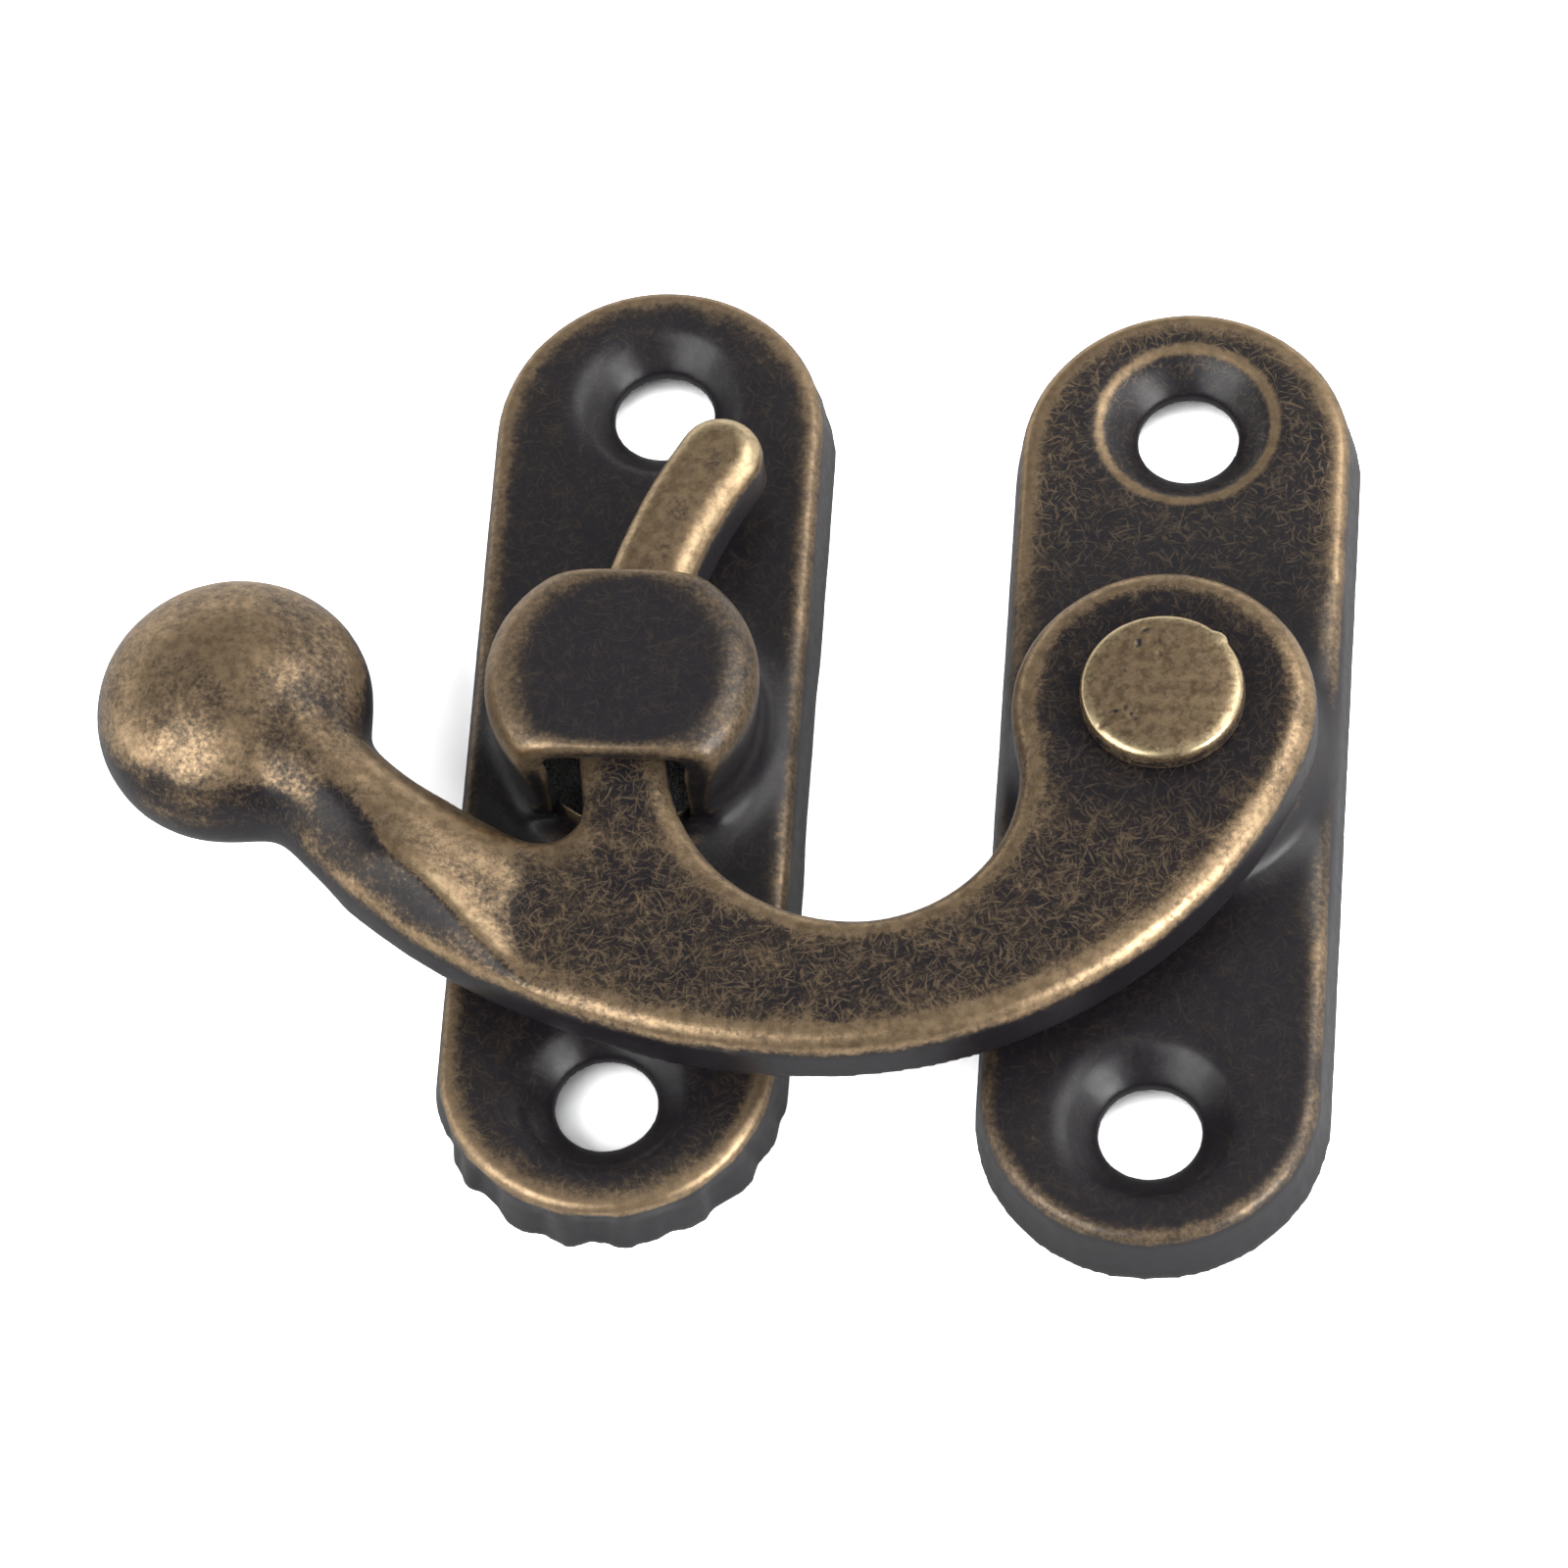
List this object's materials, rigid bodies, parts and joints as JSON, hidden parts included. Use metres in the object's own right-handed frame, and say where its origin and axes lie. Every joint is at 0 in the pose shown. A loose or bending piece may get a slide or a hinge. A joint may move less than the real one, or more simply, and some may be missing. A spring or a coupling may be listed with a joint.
{
  "type": "box hasp",
  "caption": "Swing-hook latch for a small box: two drawn plates, one with a hood, and a riveted hook arm with a knob that turns into the hood.",
  "frame": {"origin": "on the hook's pivot axis, in the plane of the plates' backs", "axes": "+X from the catch plate towards the pivot plate, +Y along the plates towards the finger's tip, +Z out of the box"},
  "size_m": [0.032, 0.028, 0.0066],
  "materials": {
    "plate_brass": "antique brass plating, dark brown-black, glossy, worn to brass along the folded edges",
    "hook_brass": "antique brass plating, dark flats with fine brush scratches, worn to brass on edges, finger and knob",
    "rivet_brass": "antique brass plating, mostly worn through to dull brass on the head"
  },
  "bodies": {
    "plates": {"catch_plate": "plate_brass", "pivot_plate": "plate_brass", "rivet": "rivet_brass"},
    "hook": {"hook": "hook_brass"}
  },
  "joints": [
    {"name": "hook_swing", "type": "hinge", "parent": "plates", "child": "hook", "pos_m": [0, 0, 0], "axis": [0, 0, 1], "range_deg": [-6, 286]}
  ]
}
